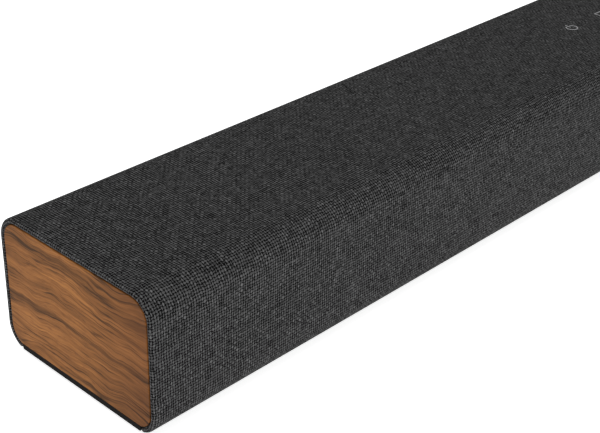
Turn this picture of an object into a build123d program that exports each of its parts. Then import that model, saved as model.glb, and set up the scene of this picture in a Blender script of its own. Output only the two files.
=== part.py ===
from build123d import *
import os

os.makedirs("parts", exist_ok=True)

# A cloth-wrapped soundbar with walnut end panels.
# Frame: X along the bar (left end at -X), front face at -Y, +Z up, origin under the middle of the feet.
# All sizes are in millimetres.

# ---------------------------------------------------------------- overall body
LENGTH = 890.0            # over the cloth folded round both ends
DEPTH = 85.0              # front face to rear face
BODY_HEIGHT = 57.0        # wrapped body, without the feet
CORNER_R = 10.0           # outside corner radius of the section
STAND = 1.5               # height of the body above the table
CLOTH = 0.8               # woven cloth
SHELL_WALL = 1.5          # perforated sleeve under the cloth
GAP = 0.3                 # clearance between pieces that slide together
HALF = LENGTH / 2
BOTTOM = STAND
TOP = STAND + BODY_HEIGHT
MID_Z = (BOTTOM + TOP) / 2
RIM = CLOTH + SHELL_WALL  # the edge seen round each end panel
LIP_HALF = DEPTH / 2 - 7.7  # half width of the gap under the body, between the cloth's edges
SHELL_HALF = HALF - CLOTH

# ---------------------------------------------------------------- bottom cover and feet
COVER_RISE = 0.5          # the cover sits this much above the section's lowest line
COVER_UNDER = BOTTOM + COVER_RISE
COVER_TOP = BOTTOM + RIM + GAP
COVER_SIDE_GAP = 0.4
COVER_END_GAP = 0.3
FOOT_L, FOOT_W, FOOT_T = 34.0, 12.0, 2.6
FOOT_INSET_X, FOOT_Y = 60.0, DEPTH / 2 - 18.5
FOOT_POCKET_GAP = 0.15

# ---------------------------------------------------------------- end panels and frames
PANEL_T = 3.0
PANEL_SINK = 0.2          # walnut face behind the cloth's end
PANEL_GAP = 0.15
FRAME_T = 4.8
PANEL_OUT = HALF - PANEL_SINK
PANEL_IN = PANEL_OUT - PANEL_T
FRAME_IN = PANEL_IN - FRAME_T
END_SCREW_Y = (28.5 - DEPTH / 2, DEPTH / 2 - 14.5)
END_SCREW_RISE = BODY_HEIGHT / 2 - 11.5  # above and below the middle

# ---------------------------------------------------------------- cabinet and baffle
CAB_INSET = RIM + GAP
CAB_WALL = 2.2
CAB_HALF = FRAME_IN
CAB_BACK = DEPTH / 2 - CAB_INSET
CAB_TOP = TOP - CAB_INSET
CAB_FLOOR_IN = COVER_TOP + CAB_WALL
CAB_CEILING_IN = CAB_TOP - CAB_WALL
FRONT_ROOM = 6.0          # free space between sleeve and baffle
BAFFLE_T = 3.0
GASKET_T = 1.0
BAFFLE_FRONT = -(DEPTH / 2 - RIM - FRONT_ROOM)
BAFFLE_BACK = BAFFLE_FRONT + BAFFLE_T
CAB_FRONT = BAFFLE_BACK + GASKET_T
PARTITION_T = 2.0
BOSS_R = 3.5
FLOOR_BOSS_H = 8.0
BAFFLE_BOSS_L = 12.0
BAFFLE_BOSS_INSET = 3.0   # boss centre from the cabinet's inner face

# ---------------------------------------------------------------- screws
CASE_HEAD_R, CASE_HEAD_H, CASE_SHAFT_R, CASE_L = 2.8, 1.8, 1.45, 10.0
SMALL_HEAD_R, SMALL_HEAD_H, SMALL_SHAFT_R, SMALL_L = 2.3, 1.3, 1.2, 7.0
SINK_HEAD_R, SINK_HEAD_H, SINK_L = 2.7, 1.4, 9.0
THREAD_GAP = 0.05         # the thread itself is not modelled
HOLE_GAP = 0.25
CROSS_W, CROSS_D = 0.7, 0.9
BLIND_SPARE = 1.0         # hole beyond a screw's tip

# ---------------------------------------------------------------- drivers, from each end inwards
TWEETER_X = CAB_HALF - 37.0
WOOFER_X = TWEETER_X - 80.0
PORT_X = WOOFER_X - 90.0
PARTITION_X = PORT_X - 45.0
WOOFER_L = 104.0
WOOFER_EDGE = 3.0         # baffle left above and below the woofer
WOOFER_H = BODY_HEIGHT - 2 * (CAB_INSET + WOOFER_EDGE)
WOOFER_FLANGE_T = 1.4
WOOFER_LAND = 5.0         # flange width outside the baffle's cut-out
BASKET_WALL = 1.2
BASKET_DEPTH = 14.0
BASKET_TAPER = 2.2        # how much shallower the basket is at its back
WOOFER_TRAVEL = 2.5
COIL_R, FORMER_WALL, WINDING_T = WOOFER_H / 6, 0.5, 0.5
MAGNET_R, TOP_PLATE_T, MAGNET_T, YOKE_T = WOOFER_H / 2.5, 4.0, 8.0, 3.5
BASKET_BACK_L, BASKET_BACK_T = 2 * (MAGNET_R + 7), 1.5
COIL_GAP = 0.5            # radial clearance each side of the coil
ROLL_R, ROLL_WALL, ROLL_LIP = 2.4, 0.5, 0.9
SPIDER_SEAT_W, SPIDER_SEAT_H, SPIDER_T = 2.0, 2.0, 0.5
CONE_DEPTH, CONE_T, CONE_SKIN = 9.4, 0.7, 0.35
WOOFER_SCREW_X, WOOFER_SCREW_IN = 26.0, 2.6
TWEETER_R, TWEETER_PLATE_T, DOME_R, DOME_H = BODY_HEIGHT / 2 - 7.5, 2.5, 12.6, 4.5
TWEETER_MOTOR_R, TWEETER_MOTOR_T, TWEETER_COLLAR = 17.0, 12.0, 3.0
TWEETER_TRAVEL = 0.3
SURROUND_W = 2.4          # flat edge round the dome
TWEETER_GROOVE = 1.5      # width of its magnetic gap
PORT_R, PORT_WALL, PORT_FLANGE_R, PORT_FLANGE_T, PORT_L = 10.0, 2.0, 15.0, 1.5, 48.0
PORT_Z = CAB_FLOOR_IN + PORT_FLANGE_R + 1.0

# ---------------------------------------------------------------- controls on top
KEY_Y = 1.0
KEY_X = {
    "power_button": -139.5,
    "input_button": -112.5,
    "volume_down_button": -14.0,
    "volume_up_button": 14.0,
    "pairing_button": 112.5,
    "mute_button": 139.5,
}
KEY_TRAVEL = 0.4
KEY_CAP_R, KEY_HOLE_GAP, KEY_FLANGE_R, KEY_FLANGE_T = 4.5, 0.5, 6.5, 1.0
KEY_STEM_R, KEY_TIP_R, KEY_GUIDE_GAP = 2.5, 1.6, 0.08
KEY_CLOTH_GAP = 0.1       # cap to the cloth's inner face
KEY_POCKET_DEPTH, KEY_POCKET_W, KEY_POCKET_WALL = 10.5, 20.0, 2.0
KEY_END = 14.0            # pocket beyond the outermost key
KEY_BOARD_T, SWITCH_SIDE, SWITCH_H, SWITCH_WELL = 1.6, 6.2, 3.4, 1.6
KEY_PLATE_T, KEY_PLATE_W = 1.6, 16.0
KEY_POST_X = (-126.0, -63.0, 63.0, 126.0)
KEY_POST_R, KEY_SEAT_T = 3.4, 1.6

# ---------------------------------------------------------------- rear sockets and wall plates
JACK_L, JACK_H, JACK_WALL, JACK_FLANGE = 100.0, 20.0, 1.6, 3.0
JACK_DEPTH = 13.9         # recess depth from the rear face
JACK_RISE = 1.3           # recess floor below the main board's top face
SNAP_H, SNAP_L = 0.8, 1.2
SOCKET_DEPTH, SOCKET_WALL, SOCKET_GAP = 14.0, 0.8, 0.2
PLATE_X, PLATE_W, PLATE_H, PLATE_R = HALF - 175.0, 26.0, 32.0, 3.0
KEYHOLE_R, KEYHOLE_SLOT_R, KEYHOLE_RISE = 4.25, 2.2, 9.0
KEYHOLE_Z = MID_Z - 3.0
HEAD_ROOM, CUP_WALL = 7.0, 1.2  # cup behind each wall plate, for the screw's head
PLATE_BLOCK = 2.0         # solid behind and beside that cup
PLATE_SCREW_X, PLATE_SCREW_Z = 9.5, 12.0

# ---------------------------------------------------------------- electronics
BOARD_L, BOARD_T = 190.0, 1.6
BOARD_FRONT_GAP = 5.0
BOARD_Z = CAB_FLOOR_IN + FLOOR_BOSS_H
BOARD_TOP = BOARD_Z + BOARD_T
BOARD_SCREW_IN = 6.0
JACK_FLOOR_OUT = DEPTH / 2 - JACK_DEPTH
JACK_FLOOR_IN = JACK_FLOOR_OUT - JACK_WALL
JACK_Z0 = BOARD_TOP - JACK_RISE
BOARD_BACK = JACK_FLOOR_IN - GAP
BOARD_FRONT = CAB_FRONT + BOARD_FRONT_GAP
BOTTOM_SCREW_X = (CAB_HALF - 25.0, PARTITION_X + 15.0, 60.0)
BOTTOM_SCREW_Y = DEPTH / 2 - 17.5
BAFFLE_SCREW_X = (0.0, PARTITION_X + 5.0, WOOFER_X - 60.0, TWEETER_X - 28.0, CAB_HALF - 8.0)
DISPLAY_L, DISPLAY_W, DISPLAY_T = 68.0, 12.0, 1.2
GUIDE_L, GUIDE_W = 30.0, 3.0
RECEIVER_X, RECEIVER_W, RECEIVER_T, RECEIVER_R = 24.0, 7.0, 3.0, 2.5
LEAD_R = 1.2
LEAD_Y = 18.0             # where the leads pass the partitions, behind the port tubes
RIBBON_W, RIBBON_T = 10.0, 0.3
CHIP_T, FIN_H, FIN_T, FIN_PITCH = 2.0, 12.0, 1.2, 4.0

# ---------------------------------------------------------------- grille slots
SLOT_W, SLOT_PITCH, SLOT_MARGIN = 2.6, 5.0, 4.0
SLOT_FROM = PORT_X - PORT_FLANGE_R
SLOT_TO = TWEETER_X + TWEETER_R


def block(x0, x1, y0, y1, z0, z1):
    """A box between two corners."""
    return Pos((x0 + x1) / 2, (y0 + y1) / 2, (z0 + z1) / 2) * Box(x1 - x0, y1 - y0, z1 - z0)


def bar(inset, half):
    """The body's rounded section drawn in by inset, as a bar along X from -half to half."""
    outline = RectangleRounded(DEPTH - 2 * inset, BODY_HEIGHT - 2 * inset, CORNER_R - inset)
    return Pos(-half, 0, 0) * extrude(Plane.YZ * Pos(0, MID_Z) * outline, 2 * half)


def post(radius, x, y, z0, z1):
    """A round post standing along Z."""
    return Pos(x, y, (z0 + z1) / 2) * Cylinder(radius, z1 - z0)


def post_y(radius, x, z, y0, y1):
    """A round post lying along Y."""
    return Pos(x, (y0 + y1) / 2, z) * Rot(90, 0, 0) * Cylinder(radius, y1 - y0)


def post_x(radius, y, z, x0, x1):
    """A round post lying along X."""
    return Pos((x0 + x1) / 2, y, z) * Rot(0, 90, 0) * Cylinder(radius, x1 - x0)


def plug_y(outline, x, z, y0, y1):
    """An outline drawn in X and Z, made solid from y0 to y1."""
    return Pos(x, y1, z) * Rot(90, 0, 0) * extrude(outline, y1 - y0)


def stack(z0, *steps):
    """Discs piled up along Z from z0, each given as (radius, height)."""
    pile, z = None, z0
    for radius, height in steps:
        disc = Pos(0, 0, z + height / 2) * Cylinder(radius, height)
        pile = disc if pile is None else pile + disc
        z += height
    return pile


def write(name, shape):
    """Writes one node, as a compound where it has several solids."""
    solids = shape if isinstance(shape, list) else [shape]
    solids = [s for item in solids for s in item.solids()]
    export_step(solids[0] if len(solids) == 1 else Compound(children=solids), f"parts/{name}.step")


# ================================================================ screws
def pan_screw(head_r, head_h, shaft_r, length):
    """Pan-head screw, head seat at z = 0, shaft towards -Z."""
    head = Pos(0, 0, head_h / 2) * Cylinder(head_r, head_h)
    head = fillet(head.edges().sort_by(Axis.Z)[-1], head_h / 3)
    shaft = Pos(0, 0, -length / 2) * Cylinder(shaft_r, length)
    cross = [Pos(0, 0, head_h) * Rot(0, 0, turn) * Box(head_r, CROSS_W, 2 * CROSS_D) for turn in (0, 90)]
    return head + shaft - cross


def sunk_screw():
    """Countersunk screw, top of the head at z = 0, shaft towards -Z."""
    head = Pos(0, 0, -SINK_HEAD_H / 2) * Cone(CASE_SHAFT_R, SINK_HEAD_R, SINK_HEAD_H)
    shaft = Pos(0, 0, -SINK_L / 2) * Cylinder(CASE_SHAFT_R, SINK_L)
    cross = [Rot(0, 0, turn) * Box(SINK_HEAD_R, CROSS_W, 2 * CROSS_D) for turn in (0, 90)]
    return head + shaft - cross


CASE_SCREW = pan_screw(CASE_HEAD_R, CASE_HEAD_H, CASE_SHAFT_R, CASE_L)
SMALL_SCREW = pan_screw(SMALL_HEAD_R, SMALL_HEAD_H, SMALL_SHAFT_R, SMALL_L)
PILOT = CASE_SHAFT_R + THREAD_GAP
SMALL_PILOT = SMALL_SHAFT_R + THREAD_GAP
CLEAR = CASE_SHAFT_R + HOLE_GAP
SMALL_CLEAR = SMALL_SHAFT_R + HOLE_GAP
FORWARD = Rot(90, 0, 0)        # a piece drawn facing +Z turns to face the front, -Y
REARWARD = Rot(-90, 0, 0)
BAFFLE_SCREW_AT = [
    (side * x, z)
    for x in BAFFLE_SCREW_X
    for side in ((1, -1) if x else (1,))
    for z in (CAB_FLOOR_IN + BAFFLE_BOSS_INSET, CAB_CEILING_IN - BAFFLE_BOSS_INSET)
]
END_SCREW_AT = [(y, MID_Z + rise) for y in END_SCREW_Y for rise in (-END_SCREW_RISE, END_SCREW_RISE)]
BOTTOM_SCREW_AT = [(s * x, t * BOTTOM_SCREW_Y) for x in BOTTOM_SCREW_X for s in (-1, 1) for t in (-1, 1)]
BOARD_SCREW_AT = [
    (s * (BOARD_L / 2 - BOARD_SCREW_IN), y)
    for s in (-1, 1)
    for y in (BOARD_FRONT + BOARD_SCREW_IN, BOARD_BACK - BOARD_SCREW_IN)
]
WOOFER_SCREW_AT = [
    (s * WOOFER_SCREW_X, t * (WOOFER_H / 2 - WOOFER_SCREW_IN)) for s in (-1, 1) for t in (-1, 1)
]
TWEETER_SCREW_AT = [(0, t * (TWEETER_R - WOOFER_SCREW_IN)) for t in (-1, 1)]
DISPLAY_SCREW_AT = [s * (DISPLAY_L / 2 - WOOFER_SCREW_IN) for s in (-1, 1)]
PLATE_SCREW_AT = [
    (s * PLATE_X + PLATE_SCREW_X * t, KEYHOLE_Z + PLATE_SCREW_Z * t) for s in (-1, 1) for t in (-1, 1)
]

# ================================================================ sleeve and cloth
# The sleeve is a C-shaped section, open underneath; the cloth is glued over it, folded round both
# ends and tucked over the two lips of the gap.
jack_x = JACK_L / 2 + JACK_WALL
jack_z = (JACK_Z0 - JACK_WALL, JACK_Z0 + JACK_H + JACK_WALL)
jack_mid = sum(jack_z) / 2
plate_outline = RectangleRounded(PLATE_W + 2 * GAP, PLATE_H + 2 * GAP, PLATE_R + GAP)
REAR = DEPTH / 2
sleeve_blank = bar(CLOTH, SHELL_HALF) - bar(RIM, LENGTH)
sleeve_blank -= block(-LENGTH, LENGTH, -LIP_HALF - CLOTH, LIP_HALF + CLOTH, 0, CAB_FLOOR_IN)

slot_h = WOOFER_H - 2 * SLOT_MARGIN
slot_count = int((SLOT_TO - SLOT_FROM) / SLOT_PITCH) + 1
slot = SlotOverall(slot_h, SLOT_W, rotation=90)
slots = [
    plug_y(slot, side * (SLOT_FROM + k * SLOT_PITCH), MID_Z, -REAR, BAFFLE_FRONT)
    for side in (-1, 1)
    for k in range(slot_count)
]
windows = [
    plug_y(RectangleRounded(GUIDE_L + 2 * GAP, GUIDE_W + 2 * GAP, 1), 0, MID_Z, -REAR, BAFFLE_FRONT),
    post_y(RECEIVER_R + KEY_HOLE_GAP, RECEIVER_X, MID_Z, -REAR, BAFFLE_FRONT),
    block(-jack_x - GAP, jack_x + GAP, CAB_BACK - RIM, REAR, jack_z[0] - GAP, jack_z[1] + GAP),
]
windows += [plug_y(plate_outline, s * PLATE_X, KEYHOLE_Z, CAB_BACK - RIM, REAR + GAP) for s in (-1, 1)]
windows += [post(KEY_CAP_R + KEY_HOLE_GAP, x, KEY_Y, CAB_TOP, TOP) for x in KEY_X.values()]
write("grille_shell", sleeve_blank - (slots + windows))

cloth = bar(0, HALF) - bar(RIM, LENGTH)
cloth -= block(-LENGTH, LENGTH, -LIP_HALF, LIP_HALF, 0, CAB_FLOOR_IN)
cloth -= sleeve_blank
jack_flange_x, jack_flange_h = jack_x + JACK_FLANGE, jack_z[1] - jack_z[0] + 2 * JACK_FLANGE
jack_outline = RectangleRounded(2 * (jack_flange_x + GAP), jack_flange_h + 2 * GAP, 2 + GAP)
cloth -= [
    plug_y(jack_outline, 0, jack_mid, CAB_BACK, REAR + GAP),
    *[plug_y(plate_outline, s * PLATE_X, KEYHOLE_Z, CAB_BACK, REAR + GAP) for s in (-1, 1)],
]
write("fabric_wrap", cloth)

# ================================================================ bottom cover, feet
cover = block(
    -HALF + COVER_END_GAP, HALF - COVER_END_GAP,
    -LIP_HALF + COVER_SIDE_GAP, LIP_HALF - COVER_SIDE_GAP,
    COVER_UNDER, COVER_TOP,
)
cover = fillet(cover.edges().filter_by(Axis.X).group_by(Axis.Z)[0], COVER_RISE)
foot_places = [(s * (HALF - FOOT_INSET_X), t * FOOT_Y) for s in (-1, 1) for t in (-1, 1)]
foot_outline = SlotOverall(FOOT_L, FOOT_W)
pocket_outline = SlotOverall(FOOT_L + 2 * FOOT_POCKET_GAP, FOOT_W + 2 * FOOT_POCKET_GAP)
foot = extrude(foot_outline, FOOT_T)
foot = fillet(foot.edges().group_by(Axis.Z)[0], 0.5)
cover -= [Pos(x, y, 0) * extrude(pocket_outline, FOOT_T) for x, y in foot_places]
sink = Pos(0, 0, -SINK_HEAD_H / 2) * Cone(CLEAR, SINK_HEAD_R + HOLE_GAP, SINK_HEAD_H)
for x, y in BOTTOM_SCREW_AT:
    cover -= [post(CLEAR, x, y, 0, COVER_TOP + 1), Pos(x, y, COVER_UNDER) * Rot(180, 0, 0) * sink]
write("bottom_cover", cover)
write("rubber_feet", [Pos(x, y, 0) * foot for x, y in foot_places])

# ================================================================ end panels and their frames
# The walnut panel is glued to a moulded frame, which four screws hold to the cabinet's end wall.
panel_bar = bar(RIM + PANEL_GAP, LENGTH) & block(-LENGTH, LENGTH, -REAR, REAR, COVER_TOP + PANEL_GAP, TOP)
for side, name in ((-1, "left"), (1, "right")):
    near, far = sorted((side * PANEL_IN, side * PANEL_OUT))
    panel = panel_bar & block(near, far, -REAR, REAR, 0, TOP)
    outer = panel.edges().group_by(Axis.X)[0 if side < 0 else -1]
    write(f"{name}_end_panel", fillet(outer, 0.35))
    near, far = sorted((side * FRAME_IN, side * PANEL_IN))
    frame = panel_bar & block(near, far, -REAR, REAR, 0, TOP)
    head_near, head_far = sorted((side * (PANEL_IN - CASE_HEAD_H - HOLE_GAP), side * (PANEL_IN + 1)))
    for y, z in END_SCREW_AT:
        frame -= [post_x(CLEAR, y, z, near - 1, far + 1)]
        frame -= [post_x(CASE_HEAD_R + HOLE_GAP, y, z, head_near, head_far)]
    write(f"{name}_end_frame", frame)

# ================================================================ cabinet
# An open-fronted moulding in three chambers: the outer two load the drivers, the middle one holds
# the electronics. Its top has a pocket for the keys, its back an opening for the socket tray.
cabinet = bar(CAB_INSET, CAB_HALF) & block(-LENGTH, LENGTH, CAB_FRONT, REAR, 0, TOP)
hollow = bar(CAB_INSET + CAB_WALL, LENGTH)
chambers = [
    hollow & block(x0, x1, CAB_FRONT - 1, REAR, 0, TOP)
    for x0, x1 in (
        (-CAB_HALF + CAB_WALL, -PARTITION_X - PARTITION_T / 2),
        (-PARTITION_X + PARTITION_T / 2, PARTITION_X - PARTITION_T / 2),
        (PARTITION_X + PARTITION_T / 2, CAB_HALF - CAB_WALL),
    )
]
cabinet -= chambers
key_half = max(KEY_X.values()) + KEY_END
key_floor = CAB_TOP - KEY_POCKET_DEPTH
key_y = (KEY_Y - KEY_POCKET_W / 2, KEY_Y + KEY_POCKET_W / 2)
additions = [
    block(
        -key_half - KEY_POCKET_WALL, key_half + KEY_POCKET_WALL,
        key_y[0] - KEY_POCKET_WALL, key_y[1] + KEY_POCKET_WALL,
        key_floor - KEY_POCKET_WALL, CAB_TOP - CAB_WALL / 2,
    )
]
cuts = [block(-key_half, key_half, *key_y, key_floor, TOP)]
for x in KEY_POST_X:
    additions.append(post(BOSS_R, x, KEY_Y, key_floor - SMALL_L, key_floor - KEY_POCKET_WALL / 2))
    cuts.append(post(SMALL_PILOT, x, KEY_Y, key_floor - SMALL_L + BLIND_SPARE, TOP))
for x, z in BAFFLE_SCREW_AT:
    additions.append(post_y(BOSS_R, x, z, CAB_FRONT, CAB_FRONT + BAFFLE_BOSS_L))
    cuts.append(post_y(PILOT, x, z, CAB_FRONT - 1, BAFFLE_FRONT + CASE_L + BLIND_SPARE))
for side in (-1, 1):
    for y, z in END_SCREW_AT:
        x0, x1 = sorted((side * (CAB_HALF - BAFFLE_BOSS_L), side * CAB_HALF))
        additions.append(post_x(BOSS_R, y, z, x0, x1))
        deep = CAB_HALF + FRAME_T - CASE_HEAD_H - HOLE_GAP - CASE_L - BLIND_SPARE
        x0, x1 = sorted((side * deep, side * (CAB_HALF + 1)))
        cuts.append(post_x(PILOT, y, z, x0, x1))
for x, y in BOTTOM_SCREW_AT:
    additions.append(post(BOSS_R, x, y, COVER_TOP, BOARD_Z))
    cuts.append(post(PILOT, x, y, 0, COVER_UNDER + SINK_L + BLIND_SPARE))
for x, y in BOARD_SCREW_AT:
    additions.append(post(BOSS_R, x, y, COVER_TOP, BOARD_Z))
    cuts.append(post(SMALL_PILOT, x, y, BOARD_TOP - SMALL_L - BLIND_SPARE, TOP))
cup_z = KEYHOLE_Z + KEYHOLE_RISE / 2 - KEYHOLE_R
cup_depth = HEAD_ROOM + CUP_WALL + GAP


def cup_outline(wall):
    """The space a screw's head needs behind a keyhole, drawn outwards by wall."""
    head_r = KEYHOLE_R + 1 + wall
    return SlotOverall(KEYHOLE_RISE + 2 * head_r, 2 * head_r, rotation=90)


for side in (-1, 1):
    x = side * PLATE_X
    block_w, block_h = PLATE_W + 2 * PLATE_BLOCK, PLATE_H + 2 * PLATE_BLOCK
    additions.append(
        block(
            x - block_w / 2, x + block_w / 2,
            CAB_BACK - cup_depth - PLATE_BLOCK, CAB_BACK - CAB_WALL / 2,
            KEYHOLE_Z - block_h / 2, KEYHOLE_Z + block_h / 2,
        )
    )
    cuts.append(plug_y(cup_outline(CUP_WALL + GAP), x, cup_z, CAB_BACK - cup_depth, REAR))
for x, z in PLATE_SCREW_AT:
    cuts.append(post_y(SMALL_PILOT, x, z, REAR - SMALL_L - SMALL_HEAD_H - BLIND_SPARE, REAR))
cuts.append(block(-jack_x - GAP, jack_x + GAP, JACK_FLOOR_IN, REAR, jack_z[0] - GAP, jack_z[1] + GAP))
for side in (-1, 1):
    cuts.append(post_x(LEAD_R + THREAD_GAP, LEAD_Y, MID_Z, side * PARTITION_X - 5, side * PARTITION_X + 5))
ribbon_half = RIBBON_W / 2
key_ribbon_x = -21.0
key_ribbon_y = KEY_Y - KEY_PLATE_W / 2 - 1.0
cuts.append(
    block(
        key_ribbon_x - ribbon_half - 0.5, key_ribbon_x + ribbon_half + 0.5,
        key_ribbon_y - 0.5, key_ribbon_y + 0.8, 0, key_floor + 1,
    )
    & block(-REAR, REAR, -REAR, REAR, key_floor - KEY_POCKET_WALL - 1, TOP)
)
cabinet = cabinet + additions - cuts
write("cabinet", cabinet)

# ================================================================ gasket and baffle
front_bar = bar(CAB_INSET, CAB_HALF)
gasket = (front_bar & block(-LENGTH, LENGTH, BAFFLE_BACK, CAB_FRONT, 0, TOP)) - [
    hollow & block(x0, x1, -REAR, REAR, 0, TOP)
    for x0, x1 in (
        (-CAB_HALF + CAB_WALL, -PARTITION_X - PARTITION_T / 2),
        (-PARTITION_X + PARTITION_T / 2, PARTITION_X - PARTITION_T / 2),
        (PARTITION_X + PARTITION_T / 2, CAB_HALF - CAB_WALL),
    )
]
gasket -= [post_y(CLEAR, x, z, BAFFLE_BACK - 1, CAB_FRONT + 1) for x, z in BAFFLE_SCREW_AT]
write("baffle_gasket", gasket)

basket_l, basket_h = WOOFER_L - 2 * WOOFER_LAND - 2 * GAP, WOOFER_H - 2 * WOOFER_LAND - 2 * GAP
baffle = front_bar & block(-LENGTH, LENGTH, BAFFLE_FRONT, BAFFLE_BACK, 0, TOP)
openings = [post_y(CLEAR, x, z, BAFFLE_FRONT - 1, BAFFLE_BACK + 1) for x, z in BAFFLE_SCREW_AT]
for side in (-1, 1):
    through = (BAFFLE_FRONT - 1, BAFFLE_BACK + 1)
    basket_hole = SlotOverall(basket_l + 2 * GAP, basket_h + 2 * GAP)
    openings.append(plug_y(basket_hole, side * WOOFER_X, MID_Z, *through))
    openings.append(post_y(TWEETER_MOTOR_R + 1, side * TWEETER_X, MID_Z, *through))
    openings.append(post_y(PORT_R + PORT_WALL + GAP, side * PORT_X, PORT_Z, *through))
    openings += [post_y(SMALL_PILOT, side * WOOFER_X + x, MID_Z + z, *through) for x, z in WOOFER_SCREW_AT]
    openings += [post_y(SMALL_PILOT, side * TWEETER_X + x, MID_Z + z, *through) for x, z in TWEETER_SCREW_AT]
openings += [post_y(SMALL_PILOT, x, MID_Z, BAFFLE_FRONT - 1, BAFFLE_BACK + 1) for x in DISPLAY_SCREW_AT]
ribbon_z = MID_Z - 3
openings.append(
    block(
        -ribbon_half - 1, ribbon_half + 1, BAFFLE_FRONT - 1, BAFFLE_BACK + 1,
        ribbon_z - 0.5, ribbon_z + 0.5 + RIBBON_T,
    )
)
write("front_baffle", baffle - openings)


# ================================================================ woofers
# Each is drawn facing +Z with the baffle's front face at z = 0.
def stadium(inset, length=None, height=None):
    """The basket's outline drawn in by inset."""
    return SlotOverall((length or basket_l) - 2 * inset, (height or basket_h) - 2 * inset)


def tapered(outline_back, z_back, outline_front, z_front):
    """A solid between two racetrack outlines."""
    return loft([Pos(0, 0, z_back) * outline_back, Pos(0, 0, z_front) * outline_front])


back_l, back_h = BASKET_BACK_L, basket_h - BASKET_TAPER
back_z = -BASKET_DEPTH - BASKET_BACK_T
bore_r = COIL_R + FORMER_WALL + WINDING_T
spider_r = back_h / 2 - BASKET_WALL
spider_z = -BASKET_DEPTH + SPIDER_SEAT_H


def woofer_frame():
    flange = extrude(SlotOverall(WOOFER_L, WOOFER_H), WOOFER_FLANGE_T)
    skin = tapered(stadium(0, back_l, back_h), -BASKET_DEPTH, stadium(0), 0)
    skin -= tapered(stadium(BASKET_WALL, back_l, back_h), -BASKET_DEPTH, stadium(BASKET_WALL), 0)
    window = Pos(0, 0, -BASKET_DEPTH / 2) * Box(14, 2 * basket_h, BASKET_DEPTH / 2)
    skin -= [Pos(x, 0, 0) * window for x in (-30, 30)]
    back = Pos(0, 0, back_z) * extrude(stadium(0, back_l, back_h), BASKET_BACK_T)
    seat = Pos(0, 0, -BASKET_DEPTH + SPIDER_SEAT_H / 2) * (
        Cylinder(spider_r, SPIDER_SEAT_H) - Cylinder(spider_r - SPIDER_SEAT_W, SPIDER_SEAT_H)
    )
    frame = flange - extrude(stadium(BASKET_WALL), WOOFER_FLANGE_T) + skin + back + seat
    frame -= Pos(0, 0, back_z) * Cylinder(bore_r + COIL_GAP, 4 * BASKET_BACK_T)
    return frame - [Pos(x, y, 0) * Cylinder(SMALL_CLEAR, 4 * WOOFER_FLANGE_T) for x, y in WOOFER_SCREW_AT]


def woofer_motor():
    """Top plate, ring magnet and yoke with its pole, bonded in a stack."""
    top = back_z - TOP_PLATE_T
    low = top - MAGNET_T
    plate = Pos(0, 0, top + TOP_PLATE_T / 2) * (
        Cylinder(MAGNET_R, TOP_PLATE_T) - Cylinder(bore_r + COIL_GAP, TOP_PLATE_T)
    )
    magnet = Pos(0, 0, low + MAGNET_T / 2) * (
        Cylinder(MAGNET_R + 1, MAGNET_T) - Cylinder(bore_r + 2, MAGNET_T)
    )
    yoke = stack(low - YOKE_T, (MAGNET_R, YOKE_T), (COIL_R - COIL_GAP, MAGNET_T + TOP_PLATE_T))
    return [plate, magnet, yoke]


coil_top = 2 * WOOFER_FLANGE_T - CONE_DEPTH
yoke_face = back_z - TOP_PLATE_T - MAGNET_T


def voice_coil():
    """A paper former with its copper winding."""
    low = yoke_face + WOOFER_TRAVEL + COIL_GAP
    former = Pos(0, 0, (low + coil_top) / 2) * Cylinder(COIL_R + FORMER_WALL, coil_top - low)
    winding = Pos(0, 0, low + MAGNET_T / 2 + 0.5) * Cylinder(bore_r, MAGNET_T)
    return former + winding - Pos(0, 0, low) * Cylinder(COIL_R, 100)


def woofer_cone():
    """Racetrack paper cone with its neck glued round the former."""
    def rim(inset):
        return stadium(BASKET_WALL + 2 * ROLL_R + inset)

    def neck(inset):
        return stadium(inset, 2 * COIL_R + 4, 2 * COIL_R + 3)

    z0, z1 = WOOFER_FLANGE_T - CONE_DEPTH, WOOFER_FLANGE_T
    cone = tapered(neck(0), z0 - CONE_T, rim(0), z1 - CONE_T)
    cone -= tapered(neck(CONE_SKIN), z0, rim(CONE_SKIN), z1)
    cone += Pos(0, 0, z1 - CONE_T) * extrude(rim(0) - rim(1), CONE_T)
    return cone - Pos(0, 0, z0) * Cylinder(COIL_R + FORMER_WALL, 6 * CONE_T)


def dust_cap():
    """A shallow dome closing the former."""
    r, rise, wall = COIL_R + FORMER_WALL, 4.0, 0.5
    ball = (r * r + rise * rise) / (2 * rise)
    dome = Pos(0, 0, coil_top + rise - ball) * (Sphere(ball) - Sphere(ball - wall))
    return dome & Pos(0, 0, coil_top + ball) * Box(4 * ball, 4 * ball, 2 * ball)


def surround():
    """Half-roll rubber edge, glued to the cone and to the frame."""
    path = stadium(BASKET_WALL + ROLL_R - ROLL_WALL).wire().moved(Pos(0, 0, WOOFER_FLANGE_T))
    along = path % 0
    seat = Plane(origin=path @ 0, x_dir=Vector(0, 0, 1).cross(along), z_dir=along)
    roll = Circle(ROLL_R) - Circle(ROLL_R - ROLL_WALL)
    roll &= Pos(0, ROLL_R) * Rectangle(4 * ROLL_R, 2 * ROLL_R)
    lips = [
        Pos(s * (ROLL_R - ROLL_WALL / 2 + ROLL_LIP / 2), ROLL_WALL / 2)
        * Rectangle(ROLL_LIP + ROLL_WALL, ROLL_WALL)
        for s in (-1, 1)
    ]
    return sweep(seat * (roll + lips), path=path)


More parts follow.
